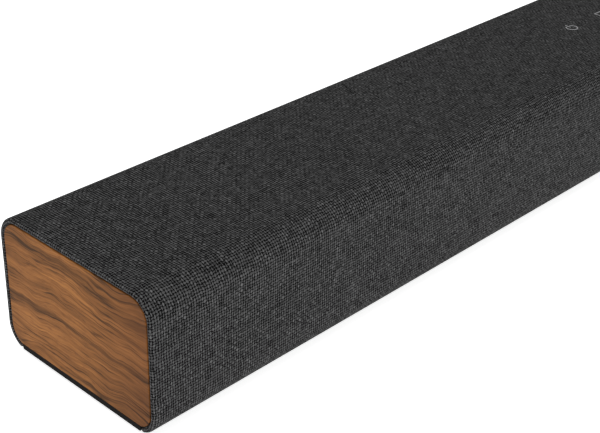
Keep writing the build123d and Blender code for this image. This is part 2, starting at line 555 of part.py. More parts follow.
def spider():
    """Corrugated cloth disc that centres the coil."""
    inner, outer = COIL_R + FORMER_WALL, spider_r - 0.2
    step = (outer - inner) / 4

    def ring(r0, r1, z, height):
        return Pos(0, 0, z) * (Cylinder(r1, height) - Cylinder(r0, height))

    edges = [inner + step * k for k in range(5)]
    waves = [
        ring(edges[k], edges[k + 1], SPIDER_T * (1 + (k + 1) % 2), SPIDER_T) for k in range(4)
    ]
    joins = [ring(r - 0.3, r + 0.3, 1.5 * SPIDER_T, 2 * SPIDER_T) for r in edges[1:4]]
    disc = waves[0] + waves[1:] + joins
    return Pos(0, 0, spider_z - SPIDER_T / 2) * disc


frame_part, motor_part = woofer_frame(), woofer_motor()
for side, name in ((-1, "left"), (1, "right")):
    place = Pos(side * WOOFER_X, BAFFLE_FRONT, MID_Z) * FORWARD
    write(f"{name}_woofer_frame", place * frame_part)
    write(f"{name}_woofer_motor", [place * p for p in motor_part])
    write(f"{name}_woofer_voice_coil", place * voice_coil())
    write(f"{name}_woofer_cone", place * woofer_cone())
    write(f"{name}_woofer_dust_cap", place * dust_cap())
    write(f"{name}_woofer_surround", place * surround())
    write(f"{name}_woofer_spider", place * spider())


# ================================================================ tweeters


def tweeter_frame():
    plate = stack(0, (TWEETER_R, TWEETER_PLATE_T))
    collar = Pos(0, 0, -TWEETER_COLLAR / 2) * Cylinder(TWEETER_MOTOR_R + 1 - GAP, TWEETER_COLLAR)
    shelf = Pos(0, 0, -TWEETER_COLLAR / 2 + 0.5) * Cylinder(DOME_R + SURROUND_W + 0.5, TWEETER_COLLAR + 1)
    mouth = Cylinder(DOME_R + 1, 4 * TWEETER_PLATE_T)
    screws = [Pos(x, y, 0) * Cylinder(SMALL_CLEAR, 4 * TWEETER_PLATE_T) for x, y in TWEETER_SCREW_AT]
    return fillet((plate + collar).edges().sort_by(Axis.Z)[-1], 0.6) - shelf - mouth - screws


def tweeter_motor():
    body = Pos(0, 0, -TWEETER_COLLAR - TWEETER_MOTOR_T / 2) * Cylinder(TWEETER_MOTOR_R, TWEETER_MOTOR_T)
    ring = Cylinder(DOME_R + TWEETER_GROOVE / 2, TWEETER_MOTOR_T)
    ring -= Cylinder(DOME_R - TWEETER_GROOVE / 2, TWEETER_MOTOR_T)
    return fillet(body.edges().sort_by(Axis.Z)[0], 1.0) - Pos(0, 0, -TWEETER_COLLAR) * ring


def tweeter_dome():
    """Silk dome with its flat edge and coil former in one moving piece."""
    ball = (DOME_R**2 + DOME_H**2) / (2 * DOME_H)
    dome = Pos(0, 0, DOME_H - ball) * (Sphere(ball) - Sphere(ball - 0.4))
    dome &= Pos(0, 0, ball) * Box(4 * ball, 4 * ball, 2 * ball)
    edge = Pos(0, 0, 0.2) * (Cylinder(DOME_R + SURROUND_W, 0.4) - Cylinder(DOME_R - 0.4, 0.4))
    former = Pos(0, 0, -2.8) * (Cylinder(DOME_R + 0.2, 6) - Cylinder(DOME_R - 0.2, 6))
    return dome + edge + former


for side, name in ((-1, "left"), (1, "right")):
    place = Pos(side * TWEETER_X, BAFFLE_FRONT, MID_Z) * FORWARD
    write(f"{name}_tweeter_frame", place * tweeter_frame())
    write(f"{name}_tweeter_motor", place * tweeter_motor())
    write(f"{name}_tweeter_dome", place * tweeter_dome())

    # ------------------------------------------------------------ bass port
    tube = stack(-PORT_L, (PORT_R + PORT_WALL, PORT_L), (PORT_FLANGE_R, PORT_FLANGE_T))
    tube -= Pos(0, 0, -PORT_L / 2) * Cylinder(PORT_R, 2 * PORT_L)
    mouth = tube.edges().filter_by(GeomType.CIRCLE).group_by(Axis.Z)[-1].sort_by(SortBy.RADIUS)[0]
    tube = fillet(mouth, 1.2)
    write(f"{name}_port_tube", Pos(side * PORT_X, BAFFLE_FRONT, PORT_Z) * FORWARD * tube)

# ================================================================ keys on top
# Each key is a plunger whose cap touches the cloth from inside; its flange keeps it under the
# sleeve, and its tip enters the well of a switch.
flange_top = TOP - RIM - GAP
flange_low = flange_top - KEY_FLANGE_T
plate_top = flange_low - KEY_TRAVEL - 0.2
board_top = key_floor + KEY_BOARD_T
switch_top = board_top + SWITCH_H
stem_low = switch_top + KEY_TRAVEL + 0.1
tip_low = switch_top - SWITCH_WELL + KEY_TRAVEL + 0.2
cap_top = TOP - CLOTH - KEY_CLOTH_GAP
for name, x in KEY_X.items():
    key = stack(
        tip_low,
        (KEY_TIP_R, stem_low - tip_low),
        (KEY_STEM_R, flange_low - stem_low),
        (KEY_FLANGE_R, KEY_FLANGE_T),
        (KEY_CAP_R, cap_top - flange_top),
    )
    key = fillet(key.edges().sort_by(Axis.Z)[-1], 0.4)
    write(name, Pos(x, KEY_Y, 0) * key)

plate_span = (-key_half + 1, key_half - 1, KEY_Y - KEY_PLATE_W / 2, KEY_Y + KEY_PLATE_W / 2)
key_plate = block(*plate_span, plate_top - KEY_PLATE_T, plate_top)
key_plate += [post(KEY_POST_R, x, KEY_Y, board_top, plate_top) for x in KEY_POST_X]
key_plate -= [post(KEY_STEM_R + KEY_GUIDE_GAP, x, KEY_Y, 0, TOP) for x in KEY_X.values()]
key_plate -= [post(SMALL_HEAD_R + HOLE_GAP, x, KEY_Y, board_top + KEY_SEAT_T, TOP) for x in KEY_POST_X]
key_plate -= [post(SMALL_CLEAR, x, KEY_Y, 0, TOP) for x in KEY_POST_X]
write("key_frame", key_plate)
key_board = block(*plate_span, key_floor, board_top)
ribbon_span = (key_ribbon_x - ribbon_half, key_ribbon_x + ribbon_half)
plug_h = 5.0
key_board += block(*ribbon_span, key_ribbon_y, KEY_Y - KEY_PLATE_W / 2 + 1, board_top - RIBBON_T, board_top)
key_board += block(*ribbon_span, key_ribbon_y, key_ribbon_y + RIBBON_T, BOARD_TOP + plug_h, board_top)
write("key_board", key_board - [post(SMALL_CLEAR, x, KEY_Y, 0, TOP) for x in KEY_POST_X])
switch = Pos(0, 0, board_top + SWITCH_H / 2) * Box(SWITCH_SIDE, SWITCH_SIDE, SWITCH_H)
switch -= Pos(0, 0, switch_top) * Cylinder(KEY_TIP_R + HOLE_GAP, 2 * SWITCH_WELL)
write("key_switches", [Pos(x, KEY_Y, 0) * switch for x in KEY_X.values()])

# ================================================================ display board, light guide, receiver
board_face = BAFFLE_FRONT - DISPLAY_T
display_z = (MID_Z - DISPLAY_W / 2, MID_Z + DISPLAY_W / 2)
ribbon_top, ribbon_end = ribbon_z + RIBBON_T, BOARD_FRONT + 2.3
display = block(-DISPLAY_L / 2, DISPLAY_L / 2, board_face, BAFFLE_FRONT, *display_z)
display += block(-ribbon_half, ribbon_half, BAFFLE_FRONT - 0.5, ribbon_end, ribbon_z, ribbon_top)
display += block(-ribbon_half, ribbon_half, ribbon_end - RIBBON_T, ribbon_end, BOARD_TOP + plug_h, ribbon_top)
write("display_board", display - [post_y(SMALL_CLEAR, x, MID_Z, -REAR, REAR) for x in DISPLAY_SCREW_AT])
guide = block(
    -GUIDE_L / 2, GUIDE_L / 2, -REAR + CLOTH + KEY_CLOTH_GAP, board_face,
    MID_Z - GUIDE_W / 2, MID_Z + GUIDE_W / 2,
)
write("light_guide", fillet(guide.edges().filter_by(Axis.Y), 0.6))
receiver = block(
    RECEIVER_X - RECEIVER_W / 2, RECEIVER_X + RECEIVER_W / 2,
    board_face - RECEIVER_T, board_face, MID_Z - RECEIVER_W / 2, MID_Z + RECEIVER_W / 2,
)
write("remote_receiver", receiver + Pos(RECEIVER_X, board_face - RECEIVER_T, MID_Z) * Sphere(RECEIVER_R))

# ================================================================ socket tray and wall plates
tray = block(-jack_x, jack_x, JACK_FLOOR_IN, REAR - CLOTH, *jack_z)
tray += plug_y(RectangleRounded(2 * jack_flange_x, jack_flange_h, 2), 0, jack_mid, REAR - CLOTH, REAR)
snap_back = CAB_BACK - CAB_WALL - GAP
for edge in (jack_z[0], jack_z[1]):
    tray += [
        block(x - 10, x + 10, snap_back - SNAP_L, snap_back, edge - SNAP_H, edge + SNAP_H) for x in (-35, 35)
    ]
tray -= block(-JACK_L / 2, JACK_L / 2, JACK_FLOOR_OUT, REAR + 1, JACK_Z0, JACK_Z0 + JACK_H)

sockets = {
    "power_socket": (-38.0, 9.0, 11.0),
    "optical_socket": (-17.0, 10.0, 10.0),
    "service_socket": (6.0, 14.4, 7.0),
    "audio_video_socket": (32.0, 16.0, 6.6),
}
socket_floor = JACK_FLOOR_OUT - SOCKET_DEPTH
for name, (x, w, h) in sockets.items():
    tray -= block(
        x - w / 2 - SOCKET_GAP, x + w / 2 + SOCKET_GAP, JACK_FLOOR_IN - 1, JACK_FLOOR_OUT + 1,
        BOARD_TOP - SOCKET_GAP, BOARD_TOP + h + SOCKET_GAP,
    )
    body = block(x - w / 2, x + w / 2, socket_floor, JACK_FLOOR_OUT, BOARD_TOP, BOARD_TOP + h)
    z = BOARD_TOP + h / 2
    if name == "power_socket":
        body -= post_y(2.8, x, z, socket_floor + 2, REAR)
        body += post_y(1.0, x, z, socket_floor, JACK_FLOOR_OUT - 1)
    elif name == "optical_socket":
        body -= block(x - 3.9, x + 3.9, socket_floor + 3, REAR, z - 3.9, z + 3.9)
        body += post_y(1.2, x, z, socket_floor, socket_floor + 5)
    else:
        tongue = 1.8 if name == "service_socket" else 1.2
        low = z if name == "service_socket" else z - tongue / 2
        body -= block(
            x - w / 2 + SOCKET_WALL, x + w / 2 - SOCKET_WALL, socket_floor + 2, REAR,
            BOARD_TOP + SOCKET_WALL, BOARD_TOP + h - SOCKET_WALL,
        )
        body += block(x - w / 2 + 2, x + w / 2 - 2, socket_floor, JACK_FLOOR_OUT - 1.5, low, low + tongue)
    write(name, body)
write("socket_tray", tray)

# Each wall plate is pressed steel, with a cup welded behind its keyhole.
plate = plug_y(RectangleRounded(PLATE_W, PLATE_H, PLATE_R), 0, 0, CAB_BACK, REAR)
cup_rise = cup_z - KEYHOLE_Z
plate += plug_y(cup_outline(CUP_WALL), 0, cup_rise, CAB_BACK - HEAD_ROOM - CUP_WALL, CAB_BACK)
plate -= plug_y(cup_outline(0), 0, cup_rise, CAB_BACK - HEAD_ROOM, CAB_BACK)
slot_top = Pos(0, KEYHOLE_RISE / 2) * Rectangle(2 * KEYHOLE_SLOT_R, KEYHOLE_RISE)
keyhole = Circle(KEYHOLE_R) + slot_top + Pos(0, KEYHOLE_RISE) * Circle(KEYHOLE_SLOT_R)
plate -= plug_y(keyhole, 0, -KEYHOLE_R, CAB_BACK - 1, REAR + 1)
for t in (-1, 1):
    plate -= [
        post_y(SMALL_CLEAR, t * PLATE_SCREW_X, t * PLATE_SCREW_Z, CAB_BACK - 1, REAR + 1),
        post_y(
            SMALL_HEAD_R + HOLE_GAP, t * PLATE_SCREW_X, t * PLATE_SCREW_Z, REAR - SMALL_HEAD_H, REAR + 1
        ),
    ]
write("wall_plates", [Pos(s * PLATE_X, 0, KEYHOLE_Z) * plate for s in (-1, 1)])

# ================================================================ main board and what stands on it
board = block(-BOARD_L / 2, BOARD_L / 2, BOARD_FRONT, BOARD_BACK, BOARD_Z, BOARD_TOP)
write("main_board", board - [post(SMALL_CLEAR, x, y, 0, TOP) for x, y in BOARD_SCREW_AT])
sink_x, sink_y = (-78.0, -30.0), (BOARD_FRONT + 8, BOARD_FRONT + 30)
sink_z = BOARD_TOP + CHIP_T
fins = int((sink_x[1] - sink_x[0]) / FIN_PITCH)
heat_sink = block(*sink_x, *sink_y, sink_z, sink_z + 2)
heat_sink += [
    block(sink_x[0] + k * FIN_PITCH, sink_x[0] + k * FIN_PITCH + FIN_T, *sink_y, sink_z + 1, sink_z + FIN_H)
    for k in range(fins + 1)
    if sink_x[0] + k * FIN_PITCH + FIN_T <= sink_x[1]
]
write("heat_sink", heat_sink)
chip_y = sum(sink_y) / 2
components = [
    block(-66, -54, chip_y - 6, chip_y + 6, BOARD_TOP, sink_z),
    block(-48, -38, chip_y - 5, chip_y + 5, BOARD_TOP, sink_z),
    block(6, 20, chip_y - 7, chip_y + 7, BOARD_TOP, BOARD_TOP + 1.4),
]
components += [post(5.0, x, BOARD_FRONT + 10, BOARD_TOP, BOARD_TOP + 14) for x in (-15, 32, 45)]
components += [block(x - 5, x + 5, chip_y + 12, chip_y + 22, BOARD_TOP, BOARD_TOP + 5) for x in (-84, -70)]
lead_end_x, lead_end_z = 85.0, BOARD_TOP + 8
lead_y = BOARD_FRONT + 22
plug_z = (BOARD_TOP, BOARD_TOP + plug_h)
components += [
    block(ribbon_span[0] - 1, ribbon_span[1] + 1, key_ribbon_y - 2, key_ribbon_y + 2, *plug_z),
    block(-ribbon_half - 1, ribbon_half + 1, BOARD_FRONT + 0.5, BOARD_FRONT + 4, *plug_z),
]
for x in (-lead_end_x, lead_end_x):
    components.append(block(x - 4, x + 4, lead_y - 3, lead_y + 3, BOARD_TOP, lead_end_z))
write("board_components", components)
module = block(58, 76, chip_y - 10, chip_y + 10, BOARD_TOP, BOARD_TOP + 1.0)
write("wireless_module", module + block(60, 74, chip_y - 8, chip_y + 4, BOARD_TOP + 0.5, BOARD_TOP + 2.4))

# ================================================================ speaker leads
# A two-core lead rises from its board connector, passes the partition and ends on the woofer's back;
# a second one carries on to the tweeter.
woofer_back = BAFFLE_FRONT + BASKET_DEPTH + BASKET_BACK_T
tweeter_back = BAFFLE_FRONT + TWEETER_COLLAR + TWEETER_MOTOR_T
tab_x, lead_z = BASKET_BACK_L / 2 - 3, MID_Z + 4  # the leads' places on the basket's back
for side, name in ((-1, "left"), (1, "right")):
    routes = (
        (
            (side * lead_end_x, lead_y, lead_end_z),
            (side * lead_end_x, lead_y, MID_Z),
            (side * (lead_end_x + 28), LEAD_Y, MID_Z),
            (side * (PARTITION_X + 12), LEAD_Y, MID_Z),
            (side * (WOOFER_X - tab_x - 20), LEAD_Y, lead_z),
            (side * (WOOFER_X - tab_x), LEAD_Y - 10, lead_z),
            (side * (WOOFER_X - tab_x), woofer_back, lead_z),
        ),
        (
            (side * (WOOFER_X + tab_x), woofer_back, lead_z),
            (side * (WOOFER_X + tab_x), woofer_back + 12, lead_z),
            (side * TWEETER_X, woofer_back + 12, lead_z),
            (side * TWEETER_X, tweeter_back, lead_z),
        ),
    )
    leads = []
    for route in routes:
        path = FilletPolyline(*route, radius=5)
        leads.append(sweep(Plane(origin=path @ 0, z_dir=path % 0) * Circle(LEAD_R), path=path))
    write(f"{name}_speaker_lead", leads)

# ================================================================ fasteners
case_screws = [Pos(x, BAFFLE_FRONT, z) * FORWARD * CASE_SCREW for x, z in BAFFLE_SCREW_AT]
head_seat = PANEL_IN - CASE_HEAD_H - HOLE_GAP
case_screws += [
    Pos(s * head_seat, y, z) * Rot(0, 90 * s, 0) * CASE_SCREW for s in (-1, 1) for y, z in END_SCREW_AT
]
write("case_screws", case_screws)
bottom_screw = Rot(180, 0, 0) * sunk_screw()
write("bottom_screws", [Pos(x, y, COVER_UNDER) * bottom_screw for x, y in BOTTOM_SCREW_AT])
small_screws = [
    Pos(s * WOOFER_X + x, BAFFLE_FRONT - WOOFER_FLANGE_T, MID_Z + z) * FORWARD * SMALL_SCREW
    for s in (-1, 1)
    for x, z in WOOFER_SCREW_AT
]
small_screws += [
    Pos(s * TWEETER_X + x, BAFFLE_FRONT - TWEETER_PLATE_T, MID_Z + z) * FORWARD * SMALL_SCREW
    for s in (-1, 1)
    for x, z in TWEETER_SCREW_AT
]
small_screws += [Pos(x, board_face, MID_Z) * FORWARD * SMALL_SCREW for x in DISPLAY_SCREW_AT]
small_screws += [Pos(x, y, BOARD_TOP) * SMALL_SCREW for x, y in BOARD_SCREW_AT]
small_screws += [Pos(x, KEY_Y, board_top + KEY_SEAT_T) * SMALL_SCREW for x in KEY_POST_X]
small_screws += [Pos(x, REAR - SMALL_HEAD_H, z) * REARWARD * SMALL_SCREW for x, z in PLATE_SCREW_AT]
write("small_screws", small_screws)
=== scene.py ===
import math

import bpy
from mathutils import Matrix, Vector
from mathutils.geometry import delaunay_2d_cdt


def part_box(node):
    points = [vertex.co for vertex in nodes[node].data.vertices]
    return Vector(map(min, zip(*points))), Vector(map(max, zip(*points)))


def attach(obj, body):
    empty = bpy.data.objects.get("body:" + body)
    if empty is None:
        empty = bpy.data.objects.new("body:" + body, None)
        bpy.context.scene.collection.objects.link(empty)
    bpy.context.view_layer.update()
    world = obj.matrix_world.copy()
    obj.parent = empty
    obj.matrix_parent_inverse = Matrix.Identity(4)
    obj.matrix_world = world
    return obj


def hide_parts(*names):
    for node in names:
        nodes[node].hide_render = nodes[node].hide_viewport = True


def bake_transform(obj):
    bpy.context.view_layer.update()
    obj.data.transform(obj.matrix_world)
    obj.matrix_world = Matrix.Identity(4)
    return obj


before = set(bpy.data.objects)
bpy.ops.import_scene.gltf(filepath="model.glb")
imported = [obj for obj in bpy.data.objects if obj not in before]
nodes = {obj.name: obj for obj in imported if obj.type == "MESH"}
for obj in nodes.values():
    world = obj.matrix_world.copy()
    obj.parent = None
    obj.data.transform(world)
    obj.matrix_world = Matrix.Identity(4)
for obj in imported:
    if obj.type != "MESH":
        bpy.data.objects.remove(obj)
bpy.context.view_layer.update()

# ---------------------------------------------------------------- Viewpoint
# A long lens close to the bar's left end, a little above it, looking along the bar to its far
# end. The lens is shifted so that the end panel stays near the left edge of the view.
mm = 0.001
eye = Vector((-671.4, -322.5, 292.0)) * mm
heading, dip, tilt = math.radians(44.534), math.radians(27.282), math.radians(0.167)
ahead = Vector((math.sin(heading) * math.cos(dip), math.cos(heading) * math.cos(dip), -math.sin(dip)))
level = Vector((math.cos(heading), -math.sin(heading), 0))
across = math.cos(tilt) * level + math.sin(tilt) * level.cross(ahead)
camera_data = bpy.data.cameras.new("camera")
camera_data.lens = 79.36
camera_data.shift_x, camera_data.shift_y = 0.0692, -0.0793
camera_data.clip_start = 0.01
camera = bpy.data.objects.new("camera", camera_data)
turned = Matrix((across, across.cross(ahead), -ahead)).transposed().to_4x4()
camera.matrix_world = Matrix.Translation(eye) @ turned
bpy.context.scene.collection.objects.link(camera)
bpy.context.scene.camera = camera

# ---------------------------------------------------------------- Studio
# A white sweep lit from all round, with one large soft lamp in front and to the left. It isn't
# part of the bar.
bpy.context.scene.view_settings.view_transform = "Standard"
bpy.context.scene.world = bpy.data.worlds.new("studio")
bpy.context.scene.world.use_nodes = True
sky = bpy.context.scene.world.node_tree.nodes["Background"]
sky.inputs["Color"].default_value = (1.0, 1.0, 1.0, 1.0)
sky.inputs["Strength"].default_value = 0.42


def lamp(name, place, aim, size, watts):
    light = bpy.data.lights.new(name, "AREA")
    light.shape, light.size, light.energy = "DISK", size, watts
    holder = bpy.data.objects.new(name, light)
    holder.location = place
    holder.rotation_euler = (Vector(aim) - Vector(place)).to_track_quat("-Z", "Y").to_euler()
    bpy.context.scene.collection.objects.link(holder)


lamp("front_softbox", (-1.5, -1.5, 1.0), (-0.4, 0, 0.03), 1.2, 13)
lamp("overhead_softbox", (-0.6, -0.2, 2.1), (-0.4, 0, 0), 1.4, 17)

floor_mesh = bpy.data.meshes.new("studio_floor")
reach = 12.0
floor_corners = [(-reach, -reach, 0), (reach, -reach, 0), (reach, reach, 0), (-reach, reach, 0)]
floor_mesh.from_pydata(floor_corners, [], [(0, 1, 2, 3)])
floor = bpy.data.objects.new("studio_floor", floor_mesh)
bpy.context.scene.collection.objects.link(floor)
paper = bpy.data.materials.new("studio_paper")
paper.use_nodes = True
paper_shader = paper.node_tree.nodes["Principled BSDF"]
paper_shader.inputs["Base Color"].default_value = (0.93, 0.93, 0.93, 1)
paper_shader.inputs["Roughness"].default_value = 0.9
paper_shader.inputs["Emission Color"].default_value = (1, 1, 1, 1)
paper_shader.inputs["Emission Strength"].default_value = 0.72
floor_mesh.materials.append(paper)


# ---------------------------------------------------------------- Cabinet, baffle and end frames
# Injection-moulded ABS with a fine spark-eroded texture, black for the cabinet, the baffle and
# the port tubes, and grey for the frames that hold the end panels.
def link(tree, socket, value):
    """Puts a number, a colour or another node's output into a socket."""
    if isinstance(value, bpy.types.NodeSocket):
        tree.links.new(value, socket)
    else:
        socket.default_value = value


def calc(tree, operation, *values, clamp=False):
    node = tree.nodes.new("ShaderNodeMath")
    node.operation, node.use_clamp = operation, clamp
    for socket, value in zip(node.inputs, values):
        link(tree, socket, value)
    return node.outputs[0]


def noise(tree, at, scale, detail=2.0, roughness=0.5, warp=0.0):
    node = tree.nodes.new("ShaderNodeTexNoise")
    link(tree, node.inputs["Vector"], at)
    for name, value in (("Scale", scale), ("Detail", detail), ("Roughness", roughness), ("Distortion", warp)):
        node.inputs[name].default_value = value
    return node.outputs["Fac"]


def spread(tree, value, low, high, out_low=0.0, out_high=1.0):
    """Maps low..high to out_low..out_high, with the ends held."""
    node = tree.nodes.new("ShaderNodeMapRange")
    for socket, number in zip(node.inputs, (value, low, high, out_low, out_high)):
        link(tree, socket, number)
    return node.outputs["Result"]


def shades(tree, value, *stops):
    """A colour ramp through (place, colour) stops."""
    node = tree.nodes.new("ShaderNodeValToRGB")
    link(tree, node.inputs["Fac"], value)
    ramp = node.color_ramp.elements
    while len(ramp) < len(stops):
        ramp.new(0.5)
    for element, (place, colour) in zip(ramp, stops):
        element.position, element.color = place, (*colour, 1)
    return node.outputs["Color"]


def bumps(tree, height, depth):
    node = tree.nodes.new("ShaderNodeBump")
    node.inputs["Distance"].default_value = depth
    link(tree, node.inputs["Height"], height)
    return node.outputs["Normal"]


def place_of(tree, scale=(1, 1, 1)):
    """The point on the piece, in metres times scale."""
    node = tree.nodes.new("ShaderNodeTexCoord")
    mapping = tree.nodes.new("ShaderNodeMapping")
    mapping.inputs["Scale"].default_value = scale
    tree.links.new(node.outputs["Object"], mapping.inputs["Vector"])
    return mapping.outputs["Vector"]


def tone(colour, share):
    return tuple(min(1.0, channel * share) for channel in colour)


def finish(name, **sockets):
    """A new material, and its tree and shader with the given sockets set."""
    material = bpy.data.materials.new(name)
    material.use_nodes = True
    shader = material.node_tree.nodes["Principled BSDF"]
    for socket, value in sockets.items():
        shader.inputs[socket.replace("_", " ")].default_value = value
    return material, material.node_tree, shader


def grained(name, colour, roughness, grain=0.0007, relief=0.00004, spots=0.12, **sockets):
    """A surface with a fine even texture: moulded plastic, paint, rubber or pulp."""
    sockets.setdefault("Specular_IOR_Level", 0.25)
    material, tree, shader = finish(name, **sockets)
    at = place_of(tree)
    fine = noise(tree, at, 1 / grain, 3, 0.6)
    broad = noise(tree, at, 38, 3, 0.55)
    mix = calc(tree, "ADD", calc(tree, "MULTIPLY", fine, 0.5), calc(tree, "MULTIPLY", broad, 0.5))
    tint = shades(tree, mix, (0.3, tone(colour, 1 - spots)), (0.7, tone(colour, 1 + spots)))
    link(tree, shader.inputs["Base Color"], tint)
    link(tree, shader.inputs["Roughness"], spread(tree, mix, 0.3, 0.7, roughness - 0.07, roughness + 0.07))
    link(tree, shader.inputs["Normal"], bumps(tree, fine, relief))
    return material


def dress(material, *names):
    """Gives CAD pieces their finish."""
    for name in names:
        for slot in nodes[name].material_slots:
            slot.material = material


black_plastic = grained("black_moulding", (0.0105, 0.0105, 0.011), 0.52)
dress(black_plastic, "cabinet", "front_baffle")
dress(grained("grey_moulding", (0.06, 0.064, 0.068), 0.55), "left_end_frame", "right_end_frame")
gasket_foam = grained("gasket_foam", (0.02, 0.02, 0.021), 0.95, grain=0.0012, relief=0.0003, spots=0.4)
dress(gasket_foam, "baffle_gasket")


# ---------------------------------------------------------------- Woofers
# Racetrack woofers: a black pressed-steel basket, a ferrite motor between zinc-plated plates, a
# coated pulp cone and cap, a cotton spider, a butyl rubber edge and a copper coil.
def metal(name, colour, roughness, brushing=(40, 40, 2500), marks=0.14):
    """Worked metal: fine drawing marks across one direction, and slow changes of shine."""
    material, tree, shader = finish(name, Metallic=1.0)
    streaks = noise(tree, place_of(tree, brushing), 1.0, 3, 0.6)
    slow = noise(tree, place_of(tree), 60, 2)
    tint = shades(tree, streaks, (0.3, tone(colour, 1 - marks)), (0.7, tone(colour, 1 + marks)))
    link(tree, shader.inputs["Base Color"], tint)
    link(tree, shader.inputs["Roughness"], spread(tree, slow, 0.3, 0.7, roughness - 0.06, roughness + 0.08))
    link(tree, shader.inputs["Normal"], bumps(tree, streaks, 0.00002))
    return material


def threaded(name, colour, pitch, relief, roughness=0.85):
    """Fine woven stuff too small to show single yarns from a distance."""
    material, tree, shader = finish(name, Sheen_Weight=0.2)
    at = place_of(tree)
    rows = []
    for turn in ((1, 0, 0), (0, 1, 0), (0, 0, 1)):
        split = tree.nodes.new("ShaderNodeVectorMath")
        split.operation = "DOT_PRODUCT"
        split.inputs[1].default_value = turn
        tree.links.new(at, split.inputs[0])
        rows.append(calc(tree, "SINE", calc(tree, "MULTIPLY", split.outputs["Value"], math.tau / pitch)))
    weave = calc(tree, "ADD", calc(tree, "MULTIPLY", rows[0], rows[2]), calc(tree, "MULTIPLY", rows[1], rows[2]))
    rough = noise(tree, at, 900, 2)
    height = calc(tree, "ADD", calc(tree, "MULTIPLY", weave, 0.3), rough)
    tint = shades(tree, height, (0.2, tone(colour, 0.7)), (0.8, tone(colour, 1.25)))
    link(tree, shader.inputs["Base Color"], tint)
    link(tree, shader.inputs["Roughness"], spread(tree, rough, 0.3, 0.7, roughness - 0.08, roughness + 0.08))
    link(tree, shader.inputs["Normal"], bumps(tree, height, relief))
    return material


black_paint = grained("basket_paint", (0.014, 0.014, 0.015), 0.4, grain=0.0012, relief=0.00003)
ferrite = grained("ferrite_and_plate", (0.05, 0.05, 0.053), 0.45, grain=0.0009, spots=0.3, Metallic=0.6)
pulp = grained("cone_pulp", (0.022, 0.02, 0.019), 0.85, grain=0.0016, relief=0.00025, spots=0.4)
copper = metal("copper_winding", (0.62, 0.27, 0.13), 0.35, brushing=(60, 3800, 60))
cotton = threaded("spider_cotton", (0.44, 0.26, 0.08), 0.0006, 0.0001)
butyl = grained("edge_rubber", (0.011, 0.011, 0.0115), 0.6, grain=0.0005, relief=0.00003)
dress(black_paint, "left_woofer_frame", "right_woofer_frame")
dress(ferrite, "left_woofer_motor", "right_woofer_motor")
dress(pulp, "left_woofer_cone", "right_woofer_cone", "left_woofer_dust_cap", "right_woofer_dust_cap")
dress(copper, "left_woofer_voice_coil", "right_woofer_voice_coil")
dress(cotton, "left_woofer_spider", "right_woofer_spider")
dress(butyl, "left_woofer_surround", "right_woofer_surround")


def flexing(name, node):
    """A ring glued to the case at its rim and to the cone at its mouth. A copy of the part is laid out by each point's
    distance from the middle and then put back, and the part itself is hidden.
    while the blend is set, and then put back."""
    low, high = (Vector(corner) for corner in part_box(node))
    centre, straight = (low + high) / 2, ((high.x - low.x) - (high.z - low.z)) / 2
    mesh = nodes[node].data.copy()
    piece = bpy.data.objects.new(name, mesh)
    bpy.context.scene.collection.objects.link(piece)
    moulded = [vertex.co.copy() for vertex in mesh.vertices]
    for vertex in mesh.vertices:
        across = max(0.0, abs(vertex.co.x - centre.x) - straight)
        vertex.co = (math.hypot(across, vertex.co.z - centre.z), 0, 0)
    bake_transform(piece)
    for vertex, place in zip(mesh.vertices, moulded):
        vertex.co = place
    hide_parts(node)


for side in ("left", "right"):
    flexing(side + "_cotton_spider", side + "_woofer_spider")
    flexing(side + "_rubber_edge", side + "_woofer_surround")

# ---------------------------------------------------------------- Tweeters and port tubes
# A coated silk dome in a moulded faceplate over a small sealed motor. Beside each woofer a
# flared tube lets the chamber breathe.
dome_silk = threaded("dome_silk", (0.03, 0.028, 0.028), 0.0004, 0.00005, 0.6)
dress(dome_silk, "left_tweeter_dome", "right_tweeter_dome")
dress(black_plastic, "left_tweeter_frame", "right_tweeter_frame", "left_port_tube", "right_port_tube")
dress(ferrite, "left_tweeter_motor", "right_tweeter_motor")

# ---------------------------------------------------------------- Speaker leads
# Stranded copper in soft red insulation, run from the main board to each woofer and tweeter and
# held along the inside of the cabinet.
lead_insulation = grained("lead_insulation", (0.30, 0.012, 0.01), 0.45, grain=0.002)
dress(lead_insulation, "left_speaker_lead", "right_speaker_lead")


# ---------------------------------------------------------------- Circuit boards
# Glass-epoxy laminate under green solder mask, with the tracks just showing through it. The parts
# are soldered on top, and the boards screw to posts inside the cabinet.
def laminate():
    material, tree, shader = finish("solder_mask", Coat_Weight=0.5, Coat_Roughness=0.15)
    tracks = tree.nodes.new("ShaderNodeTexBrick")
    link(tree, tracks.inputs["Vector"], place_of(tree))
    for name, value in (("Scale", 120.0), ("Mortar Size", 0.06), ("Brick Width", 0.9), ("Row Height", 0.22)):
        tracks.inputs[name].default_value = value
    fibre = noise(tree, place_of(tree), 500, 3)
    base = spread(tree, fibre, 0.3, 0.7, 0.0, 0.35)
    height = calc(tree, "ADD", base, calc(tree, "MULTIPLY", tracks.outputs["Fac"], 0.6))
    greens = shades(tree, height, (0.0, (0.006, 0.06, 0.018)), (0.9, (0.02, 0.14, 0.05)))
    link(tree, shader.inputs["Base Color"], greens)
    link(tree, shader.inputs["Roughness"], spread(tree, fibre, 0.3, 0.7, 0.3, 0.45))
    link(tree, shader.inputs["Normal"], bumps(tree, height, 0.00003))
    return material


solder_mask = laminate()
component_black = grained("component_resin", (0.016, 0.016, 0.018), 0.4, grain=0.0012, spots=0.25)
tin_plate = metal("tin_plate", (0.62, 0.62, 0.60), 0.32)
dress(solder_mask, "main_board", "key_board", "display_board")
dress(component_black, "board_components", "key_switches")
dress(tin_plate, "wireless_module")
dress(metal("extruded_aluminium", (0.58, 0.59, 0.6), 0.4, brushing=(40, 1800, 40)), "heat_sink")

